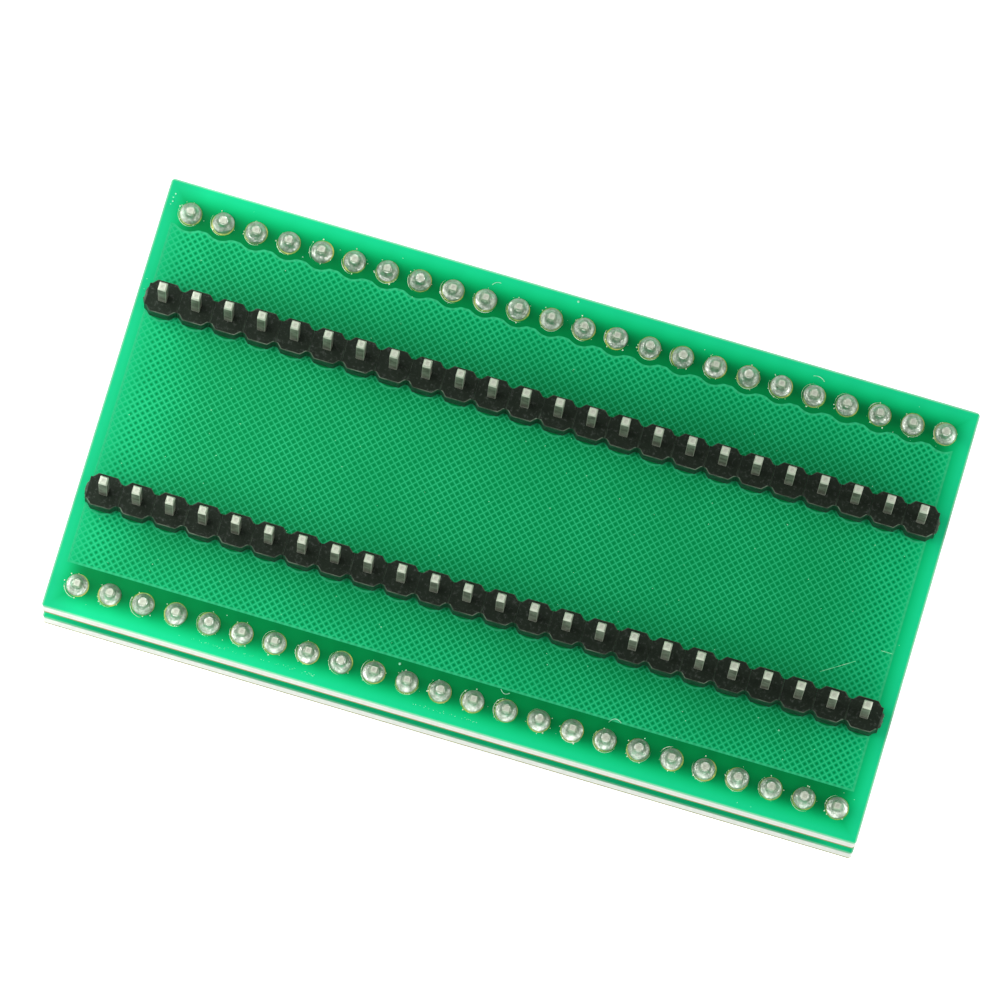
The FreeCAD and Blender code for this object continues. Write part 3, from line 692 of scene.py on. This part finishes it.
class Finishes:
    """Every finish of the part: one for each slot, and three for small marks."""

    def __init__(self) -> None:
        """Builds the shared groups and the materials."""
        groups = Groups()
        by_slot = {
            Slot.MASK: MaskFinish("Solder mask"),
            Slot.HEADER: PlasticFinish(
                "Header plastic", tone(30, 38, 30), roughness=0.45, scuffs=0.5, painted_edge_and_wall_light=True
            ),
            Slot.PIN: MetalFinish(
                "Tinned pin", tone(182, 190, 172), tone(80, 80, 70), 0.45, 0.6, metallic=0.6, keep_bright_ends_and_highlights=True
            ),
            Slot.SOLDER: MetalFinish(
                "Solder", tone(210, 214, 206), tone(146, 156, 142), 0.36, 0.55, 2.4, bumps=0.07, fine=4.5
            ),
            Slot.SOCKET: PlasticFinish("Socket plastic", tone(34, 35, 37), scuffs=0.12),
            Slot.COVER: PlasticFinish("Cover plastic", tone(52, 53, 56), scuffs=0.12),
            Slot.SPRING: MetalFinish("Spring wire", tone(190, 190, 188), tone(150, 150, 150), 0.2, 0.3),
            Slot.CONTACT: MetalFinish("Contact gold", tone(224, 190, 110), tone(190, 150, 80), 0.2, 0.35),
        }
        self.by_slot = {slot: finish.build(groups) for slot, finish in by_slot.items()}
        self.pad = MetalFinish("Pad rim", tone(176, 178, 96), tone(96, 150, 70), 0.4, 0.55).build(groups)
        # Flux painted pale: its colour is a painted glint on clear flux.
        self.flux = DebrisFinish("Dried flux with painted glints", tone(236, 246, 226), tone(180, 220, 180), 0.12).build(groups)
        self.dust = DebrisFinish("Dust", tone(196, 240, 218), tone(120, 215, 170), 0.8).build(groups)

    def set_in(
        self, thing: Object, slot: Slot, *nodes: str, body: Part = Part.BOARDS, look: Material | None = None
    ) -> None:
        """Dresses a new piece and joins it to the part.

        Args:
            thing: The new piece.
            slot: The record's slot that its finish belongs to.
            nodes: The CAD nodes that it stands for.
            body: The body that it rides on.
            look: Its material, where that isn't the slot's own.
        """
        dress(thing, look or self.by_slot[slot])
        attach(thing, body.value)
        if nodes:
            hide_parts(*nodes)
        LOG.info("%s rides on %s", thing.name, body.value)


# Sub-assemblies.


@dataclass
class HeaderStrip:
    """A moulded strip of eight-sided cells joined by short necks."""

    name: str
    node: str
    across: float
    lift: float
    height: float
    half_width: float = 1.225
    flat: float = 0.74
    slope: float = 0.37
    groove: float = 0.006
    nib_points: int = 14
    nib_half_width: float = 0.62
    nib_half_share: float = 0.4
    nib_middle_share: float = 0.5
    nib_shake: float = 0.03

    def cell(self) -> np.ndarray:
        """The rounded outline of one cell, about the origin."""
        end = PITCH / 2 - self.groove
        shoulder = self.flat + self.slope
        neck = self.half_width - self.slope
        quarter = np.array([(end, neck), (shoulder, neck), (self.flat, self.half_width)])
        turned = quarter[::-1]
        corners = np.concatenate([quarter, turned * (-1, 1), -quarter, turned * (1, -1)])
        return rounded_outline(corners, 0.05)

    def levels(self) -> np.ndarray:
        """Each ring's inset, height and painted edge highlight, from the board up and in over the top edge.
        """
        top = self.height
        return np.array([
            (0.03, 0.0, 0.0), (0.0, 0.05, 0.0), (0.0, top - 0.08, 0.0), (0.0, top - 0.04, 1.0),
            (0.012, top - 0.01, 1.0), (0.04, top, 1.0), (0.07, top, 0.0),
        ])

    def rings(self) -> np.ndarray:
        """The cells as rings: the outline times 1 - inset / half width, at each level."""
        outline = self.cell()
        inset, height, _ = self.levels().T
        flat = outline[None] * (1 - inset[:, None, None] / np.array([PITCH / 2, self.half_width]))
        along = flat[..., 0] + pin_places()[:, None, None]
        return points(along, flat[..., 1] + self.across, height[:, None] + self.lift)

    def nibs(self) -> np.ndarray:
        """The rough lumps left where the strip was broken off, one at each end.

        A lump is a flat oval carried outwards in four rings that shrink, shaken by noise. Its
        half height and its middle are shares of the strip's height.
        """
        random = np.random.default_rng(int(abs(self.across) * 10) + (self.across > 0))
        shrink = np.array([1.0, 0.95, 0.8, 0.45])[:, None]
        out = np.array([-0.05, 0.05, 0.12, 0.16])[:, None]
        rings = np.empty((2, 4, self.nib_points, 3))
        for end, sign in enumerate((-1, 1)):
            turn = circle(self.nib_points) * sign
            rings[end, ..., 0] = sign * (ROW_HALF + PITCH / 2 + out)
            rings[end, ..., 1] = self.nib_half_width * shrink * np.cos(turn) + self.across
            rise = self.nib_half_share * shrink * np.sin(turn) + self.nib_middle_share
            rings[end, ..., 2] = self.height * rise + self.lift
        rings[:, 1:] += random.normal(0, self.nib_shake, rings[:, 1:].shape)
        return rings

    def build(self, finishes: Finishes) -> None:
        """Makes the cells and the broken ends as one piece.

        The painted highlight on the top edge is full on the -Y side, less on the other, and least
        where two cells meet; the broken ends get half of it.
        """
        cells = self.rings()
        lumps = self.nibs()
        faces = stack_faces(*cells.shape[:3])
        shift = cells.size // 3
        faces += [[corner + shift for corner in face] for face in stack_faces(*lumps.shape[:3])]
        corners = np.concatenate([cells.reshape(-1, 3), lumps.reshape(-1, 3)])
        strip = add_mesh(self.name, corners, faces, 25)
        outline = self.cell()
        # Painted highlight on the top edge, strongest on the -Y side.
        highlight_by_side = np.where(outline[:, 1] < 0, 1.0, 0.4) * np.where(np.abs(outline[:, 0]) > 1.18, 0.3, 1.0)
        painted_edge_highlight = np.broadcast_to(self.levels()[None, :, None, 2] * highlight_by_side, cells.shape[:3]).ravel()
        give_share(strip, "painted_edge_highlight", np.concatenate([painted_edge_highlight, np.full(lumps.size // 3, 0.5)]))
        finishes.set_in(strip, Slot.HEADER, self.node)


@dataclass
class PinRow:
    """Square tinned pins with small tapered ends, each leaning a little."""

    name: str
    node: str
    across: float
    bottom: float
    top: float
    taper: float
    inset: float
    seed: int
    sheath: float = 0.0
    lean: float = 0.14

    def levels(self) -> np.ndarray:
        """Each ring's height, its width as a share, and how bright the metal is there."""
        half = PIN_SIDE / 2
        return np.array([
            (self.bottom, 1.0, 1.0),
            (self.bottom + 0.05, 1.0, 0.0),
            (self.sheath + 0.03, 1.0, 1.0),
            (self.sheath + 0.1, 1.0, 0.0),
            (self.top - self.taper - 0.05, 1.0, 0.0),
            (self.top - self.taper, 1.0, 1.0),
            (self.top - 0.02, 1 - 0.9 * self.inset / half, 1.0),
            (self.top, 1 - self.inset / half, 1.0),
            (self.top, 0.4 - 0.4 * self.inset / half, 0.55),
        ])

    def build(self, finishes: Finishes) -> None:
        """Makes the row.

        A pin is a rounded square carried up, drawn in at its end. Its lean moves each point
        sideways by the slope times its height above the lower end. The rims of its ends and its
        foot at the strip are the brightest, and the middle of a cut end is duller. Its corners,
        most of all the one towards +X and -Y, carry a painted highlight.
        """
        random = np.random.default_rng(self.seed)
        height, share, cut = self.levels().T
        outline = rounded_outline(box_corners(PIN_SIDE / 2, PIN_SIDE / 2), 0.06)
        flat = outline * share[:, None, None]
        slope = np.tan(np.radians(random.uniform(-self.lean, self.lean, (PIN_COUNT, 2))))
        lean = slope.T[..., None, None] * (height - self.bottom)[:, None]
        along = flat[..., 0] + (lean[0] + pin_places()[:, None, None])
        rings = points(along, flat[..., 1] + (lean[1] + self.across), height[:, None])
        pins = stack_mesh(self.name, rings, 25)
        # Painted highlight: the corners are kept bright, the +X and -Y one most.
        corner = np.where(np.arange(len(outline)) % 3 == 1, 0.5, 0.0)
        corner[1] = 1.0
        bright_ends_and_highlights = np.maximum(cut[:, None], corner[None])
        give_share(pins, "cut", np.broadcast_to(bright_ends_and_highlights[None], rings.shape[:3]))
        finishes.set_in(pins, Slot.PIN, self.node)


@dataclass
class SolderRow:
    """Solder joints round the link pins, with their pad rims and flux, the flux painted pale as glints."""

    name: str
    across: float
    face: float
    side: int
    seed: int
    node: str | None = None
    foot: float = 0.84
    collar: float = 0.34
    lip_share: float = 0.15
    lip_height: float = 0.12
    cone_height: float = 0.58
    collar_height: float = 0.25
    pad_radius: float = 0.85
    wobble: float = 0.026
    around: int = 32
    rings_up: int = 14

    def middles(self) -> np.ndarray:
        """Where the pins stand, shape (n, 2)."""
        return np.stack([pin_places(), np.full(PIN_COUNT, self.across)], 1)

    def joints(self) -> np.ndarray:
        """The joints as rings.

        With t the share of the way in from the foot to the pin, the height is
        lip * (1 - (1 - t / lip share)^2), kept past the lip, + cone * t + collar * t^8: a
        rounded lip, a cone and a steep collar. Four waves round each ring and one height
        for each joint make them differ.
        """
        random = np.random.default_rng(self.seed)
        inward = np.linspace(0, 1, self.rings_up) ** 1.3
        lip = self.lip_height * (1 - (1 - np.minimum(inward / self.lip_share, 1)) ** 2)
        height = lip + self.cone_height * inward + self.collar_height * inward**8
        radius = self.foot + (self.collar - self.foot) * inward
        angle = circle(self.around) * self.side
        reach = radius[:, None]
        lift = height[:, None]
        outer = (1 - inward)[:, None]
        middle = (4 * inward * (1 - inward))[:, None]
        for wave in (1, 2, 3, 5):
            phase = random.uniform(0, 2 * np.pi, (2, PIN_COUNT, 1, 1))
            amount = random.normal(0, self.wobble / wave**0.5, (2, PIN_COUNT, 1, 1))
            reach = reach * (1 + 0.5 * amount[0] * np.cos(wave * angle + phase[0]) * outer)
            lift = lift + 1.8 * amount[1] * np.cos(wave * angle + phase[1]) * middle
        tall = random.uniform(0.85, 1.15, (PIN_COUNT, 1, 1))
        return rounds(self.middles(), reach, self.face + self.side * lift * tall, angle)

    def rims(self) -> np.ndarray:
        """Thin discs a little out of place under the joints, which show as pad."""
        random = np.random.default_rng(self.seed + 20)
        middles = self.middles()
        middles += random.normal(0, 0.02, middles.shape) - (0, 0.015)
        radius = self.pad_radius + np.array([0.0, 0.015, 0.0])[:, None]
        height = self.face + self.side * np.array([0.0, 0.02, 0.035])[:, None]
        return rounds(middles, radius, height, circle(self.around) * self.side)

    def arcs(self) -> np.ndarray:
        """Thin shiny rings of flux, each open on one side, painted pale as glints on clear flux."""
        random = np.random.default_rng(self.seed + 40)
        start = random.uniform(1.6, 3.6, (PIN_COUNT, 1))
        length = random.uniform(1.2, 3.4, (PIN_COUNT, 1))
        angle = start + np.linspace(0, 1, 24)[None] * length
        away = random.uniform(0.9, 0.97, (PIN_COUNT, 1)) + 0.015 * np.sin(3 * angle)
        along = away * np.cos(angle) + pin_places()[:, None]
        path = points(along, away * np.sin(angle) + self.across, self.face + self.side * 0.02)
        fade = np.sin(np.linspace(0.05, np.pi - 0.05, 24))[None]
        thin = fade * random.uniform(0.012, 0.028, (PIN_COUNT, 1))
        return tubes(path, thin, 6)

    def beads(self) -> np.ndarray:
        """Flux beads round the foot of each joint, more of them on the -X side, painted pale as glints."""
        random = np.random.default_rng(self.seed + 60)
        count = PIN_COUNT * 6
        turn = random.normal(3.6, 1.3, count)
        away = random.uniform(0.86, 1.0, count)
        along = np.repeat(pin_places(), 6) + away * np.cos(turn)
        centres = points(along, self.across + away * np.sin(turn), self.face)
        return domes(centres, random.uniform(0.02, 0.06, count), self.side)

    def build(self, finishes: Finishes) -> None:
        """Makes the joints, the rims and the flux."""
        nodes = (self.node,) if self.node else ()
        joints = stack_mesh(self.name, self.joints(), 60)
        finishes.set_in(joints, Slot.SOLDER, *nodes)
        for ending, rings, smooth, slot, look in (
            ("_rims", self.rims(), 40, Slot.SOLDER, finishes.pad),
            ("_flux_glint_beads", self.beads(), 60, Slot.MASK, finishes.flux),
            ("_flux_glint_rings", self.arcs(), 60, Slot.MASK, finishes.flux),
        ):
            finishes.set_in(stack_mesh(self.name + ending, rings, smooth), slot, look=look)


@dataclass
class TailSolder:
    """Solder beads round the contact tails, between the boards."""

    first_along: float = 11.5
    stagger: float = 1.6
    spacing: float = 0.5

    def build(self, finishes: Finishes) -> None:
        """Makes one low cone at each tail, in two staggered lines at each end of the chip."""
        number = np.arange(PIN_COUNT)
        across = (number - (PIN_COUNT - 1) / 2) * self.spacing
        along = self.first_along + (1 - number % 2) * self.stagger
        middles = np.stack([along, across], 1)
        radius = np.array([0.4, 0.38, 0.3, 0.22])[:, None]
        height = Board.SOCKET_INNER.value + np.array([0.0, 0.06, 0.2, 0.45])[:, None]
        rings = rounds(np.concatenate([middles, -middles]), radius, height, circle(16))
        beads = stack_mesh("tail_joints", rings, 60)
        finishes.set_in(beads, Slot.SOLDER)


@dataclass
class Wear:
    """Dust, lint and scratches on the pin side of the upper board."""

    scratches: tuple = ((25.2, -5.2, 27.5, -3.7, 0.0), (29.1, -2.4, 30.0, -2.4, 0.0))
    lint: tuple = (
        (11.3, -13.3, 12.2, -13.1, 0.28), (3.0, -13.2, 3.7, -13.3, -0.2),
        (18.6, 16.1, 19.5, 15.9, 0.15), (-6.2, 15.9, -5.6, 16.2, 0.12),
    )
    dust: tuple = (
        (-30.7, 15.8, 0.07), (-30.8, 15.5, 0.05), (-30.75, 15.2, 0.06), (-30.85, 14.95, 0.04),
        (-4.7, -13.5, 0.1), (0.3, 16.5, 0.09), (23.5, -10.3, 0.07), (-20.3, 13.9, 0.05),
        (-30.9, 9.0, 0.04), (14.2, -13.7, 0.05),
    )
    scuffed: tuple = ((-20.0, -10.0, 60), (-3.0, 2.0, 30))
    scuff_across: float = -16.1
    scuff_spread: float = 0.06
    scuff_sizes: tuple = (0.01, 0.026)
    scratch_radius: float = 0.011
    lint_radius: float = 0.022
    loose: int = 140
    loose_reach: tuple = (31.0, 16.6)
    loose_sizes: tuple = (0.015, 0.035)
    seed: int = 12

    def strands(self, marks: tuple, radius: float) -> np.ndarray:
        """Thin lines from (x, y) to (x, y), bowed sideways by bow * 4t(1 - t)."""
        mark = np.array(marks)
        t = np.linspace(0, 1, 16)[None, :, None]
        start, end, bow = mark[:, None, 0:2], mark[:, None, 2:4], mark[:, None, 4:5]
        chord = end - start
        aside = np.stack([-chord[..., 1], chord[..., 0]], -1) / np.linalg.norm(chord, axis=-1, keepdims=True)
        flat = start + chord * t + aside * bow * 4 * t * (1 - t)
        return tubes(points(flat[..., 0], flat[..., 1], Board.PIN_FACE.value + radius * 0.4), radius, 5)

    def build(self, finishes: Finishes) -> None:
        """Makes the marks."""
        random = np.random.default_rng(self.seed)
        face = Board.PIN_FACE.value
        dust = np.array(self.dust)
        centres = [points(dust[:, 0], dust[:, 1], face)]
        sizes = [dust[:, 2]]
        for first, last, count in self.scuffed:
            along = random.uniform(first, last, count)
            across = self.scuff_across + random.normal(0, self.scuff_spread, count)
            centres.append(points(along, across, face))
            sizes.append(random.uniform(*self.scuff_sizes, count))
        along, across = (random.uniform(-reach, reach, self.loose) for reach in self.loose_reach)
        centres.append(points(along, across, face))
        sizes.append(random.uniform(*self.loose_sizes, self.loose))
        for name, rings in (
            ("dust", domes(np.concatenate(centres), np.concatenate(sizes), 1)),
            ("scratches", self.strands(self.scratches, self.scratch_radius)),
            ("lint", self.strands(self.lint, self.lint_radius)),
        ):
            finishes.set_in(stack_mesh(name, rings, 60), Slot.MASK, look=finishes.dust)


@dataclass
class CoverSpring:
    """A coil spring between the socket's base and its cover."""

    number: int
    along: float
    across: float
    low: float = 1.25
    high: float = 9.8
    radius: float = 0.93
    wire: float = 0.15
    turns: float = 7.0
    crowding: float = 0.07
    travel: float = 2.5

    def build(self, finishes: Finishes) -> None:
        """Makes the coil.

        The middle line is (r cos a, r sin a, z). With t the share of the turns made, z rises
        by t - crowding * sin(2 pi t), so that the turns lie closer at both ends.
        """
        share = np.linspace(0, 1, 220)
        angle = share * self.turns * 2 * np.pi
        rise = share - self.crowding * np.sin(2 * np.pi * share)
        path = points(
            self.along + self.radius * np.cos(angle),
            self.across + self.radius * np.sin(angle),
            self.low + self.wire + rise * (self.high - self.low - 2 * self.wire),
        )
        coil = stack_mesh("spring_coil_%d" % self.number, tubes(path[None], self.wire, 8), 60)
        finishes.set_in(coil, Slot.SPRING, "cover_spring_%d" % self.number)
        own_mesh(coil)


@dataclass
class Moulding:
    """A CAD moulding with its edges rounded."""

    node: str
    body: Part
    slot: Slot
    radius: float = 0.12

    def build(self, finishes: Finishes) -> None:
        """Copies the node's mesh, joins its corners and rounds its edges."""
        thing = new_object(self.node + "_moulding", frame["nodes"][self.node].data.copy())
        weld = thing.modifiers.new("Weld", "WELD")
        weld.merge_threshold = 0.00001
        bevel = thing.modifiers.new("Edges", "BEVEL")
        bevel.width = self.radius * METRE
        bevel.segments = 2
        bevel.limit_method = "ANGLE"
        bevel.angle_limit = math.radians(30)
        graph = bpy.context.evaluated_depsgraph_get()
        graph.update()
        done = bpy.data.meshes.new_from_object(thing.evaluated_get(graph))
        thing.modifiers.clear()
        thing.data = done
        finishes.set_in(thing, self.slot, self.node, body=self.body)


class Adapter:
    """The whole part."""

    def __init__(self) -> None:
        """Builds the finishes."""
        self.finishes = Finishes()

    def dress_nodes(self) -> None:
        """Gives each CAD node that stays the material of its slot."""
        slots = {entry["node"]: entry["material_slot"] for entry in frame["record"]["subparts"]}
        for name, thing in frame["nodes"].items():
            dress(thing, self.finishes.by_slot[Slot(slots[name])])

    def build_rows(self, side: str, sign: int, seed: int) -> None:
        """Builds the strips, pins and joints on one side of the middle.

        Args:
            side: The letter that the side's nodes end in.
            sign: 1 on the +Y side and -1 on the other.
            seed: The first of the side's four random seeds.
        """
        plug = sign * DIP_ROW
        link = sign * LINK_ROW
        face = Board.PIN_FACE.value
        plug_top = face + PLUG_STRIP_HEIGHT
        low = Board.SOCKET_FACE.value
        inner = Board.PIN_INNER.value
        for piece in (
            HeaderStrip("plug_strip_" + side, "dip_strip_" + side, plug, face, PLUG_STRIP_HEIGHT),
            HeaderStrip(
                "between_strip_" + side, "link_strip_" + side, link, low + BOARD_THICKNESS, LINK_STRIP_HEIGHT
            ),
            PinRow(
                "plug_pins_" + side, "dip_pins_" + side, plug, bottom=inner - PLUG_TAIL,
                top=plug_top + PLUG_REACH, taper=0.2, inset=0.1, seed=seed, sheath=plug_top,
            ),
            PinRow(
                "through_pins_" + side, "link_pins_" + side, link, bottom=low - LINK_REACH,
                top=face + LINK_REACH, taper=0.3, inset=0.11, seed=seed + 1, sheath=inner + LINK_FOOT,
            ),
            SolderRow("pin_side_joints_" + side, link, face, 1, seed + 2, "pin_board_solder_" + side),
            SolderRow("socket_side_joints_" + side, link, low, -1, seed + 3),
        ):
            piece.build(self.finishes)

    def build(self) -> None:
        """Builds every piece."""
        self.dress_nodes()
        self.build_rows("a", 1, seed=3)
        self.build_rows("b", -1, seed=8)
        TailSolder().build(self.finishes)
        Wear().build(self.finishes)
        for number, (along, across) in enumerate(((-1, 1), (1, 1), (1, -1), (-1, -1)), 1):
            CoverSpring(number, along * SPRING_ALONG, across * SPRING_ACROSS).build(self.finishes)
        for node, body, slot in (
            ("socket_base", Part.BOARDS, Slot.SOCKET),
            ("chip_seat", Part.BOARDS, Slot.SOCKET),
            ("socket_cover", Part.COVER, Slot.COVER),
        ):
            Moulding(node, body, slot).build(self.finishes)


@dataclass
class Studio:
    """Bench, lamps, white surroundings and the photograph's camera."""

    lens: float = 389.2
    eye: tuple = (22.29, -152.46, 803.56)
    right: tuple = (0.959368, 0.280941, 0.026161)
    down: tuple = (0.280641, -0.940509, -0.191529)
    ahead: tuple = (-0.029204, 0.191088, -0.981138)
    bench_half: float = 3000.0
    bench_level: float = -0.05
    bench_glow: float = 0.72

    def camera(self) -> None:
        """Places the camera that was fitted to the photograph."""
        data = bpy.data.cameras.new("Camera")
        data.sensor_width = 36.0
        data.lens = self.lens
        data.clip_end = 10.0
        thing = new_object("Camera", data)
        up = [-part for part in self.down]
        back = [-part for part in self.ahead]
        turn = Matrix((self.right, up, back)).transposed()
        thing.matrix_world = Matrix.Translation(Vector(self.eye) * METRE) @ turn.to_4x4()
        bpy.context.scene.camera = thing

    def bench(self) -> None:
        """A white bench top that keeps the part's shadow."""
        corners = box_corners(self.bench_half, self.bench_half)
        floor = add_mesh("Bench", points(*corners.T, self.bench_level), [[0, 1, 2, 3]], 0)
        made, graph, shader = new_material("Bench white")
        graph.fill(
            shader,
            Base_Color=(0.75, 0.75, 0.75, 1),
            Roughness=0.9,
            Emission_Color=(1, 1, 1, 1),
            Emission_Strength=graph.times(seen_share(graph), self.bench_glow),
        )
        dress(floor, made)

    def surroundings(self) -> None:
        """White all round for the camera and in metal, with less light from overhead."""
        world = bpy.data.worlds.new("White")
        bpy.context.scene.world = world
        world.use_nodes = True
        graph = Graph(world.node_tree)
        back = world.node_tree.nodes["Background"]
        rise = graph.split(graph.node("ShaderNodeTexCoord").outputs["Generated"])[2]
        glow = graph.step(rise, 0.1, 0.6, 0.07, 0.015)
        graph.fill(back, Color=(1, 1, 1, 1), Strength=graph.math("MAXIMUM", seen_share(graph), glow))

    def lamp(self, name: str, place: tuple, aim: tuple, size: float, watts: float) -> None:
        """Adds one soft square lamp.

        Args:
            name: The lamp's name.
            place: Where it is.
            aim: The point that it faces.
            size: Its side.
            watts: Its power.
        """
        data = bpy.data.lights.new(name, "AREA")
        data.size = size * METRE
        data.energy = watts
        thing = new_object(name, data)
        thing.location = Vector(place) * METRE
        thing.rotation_euler = (Vector(aim) - Vector(place)).to_track_quat("-Z", "Y").to_euler()

    def build(self) -> None:
        """Builds the stage."""
        self.camera()
        self.bench()
        self.surroundings()
        self.lamp("Left", (-88, 0, 78), (-20, 0, 18), 120, 0.185)
        self.lamp("Right", (120, 0, 70), (24, 0, 18), 90, 0.11)
        self.lamp("Front", (0, -330, 160), (0, 0, 12), 300, 0.7)
        self.lamp("Top", (60, 60, 420), (0, 0, 15), 300, 0.04)
        bpy.context.scene.view_settings.view_transform = "Standard"


def main() -> None:
    """Builds the part and the stage."""
    logging.basicConfig(level=logging.INFO, format="%(message)s")
    Adapter().build()
    Studio().build()


if __name__ == "__main__":
    main()
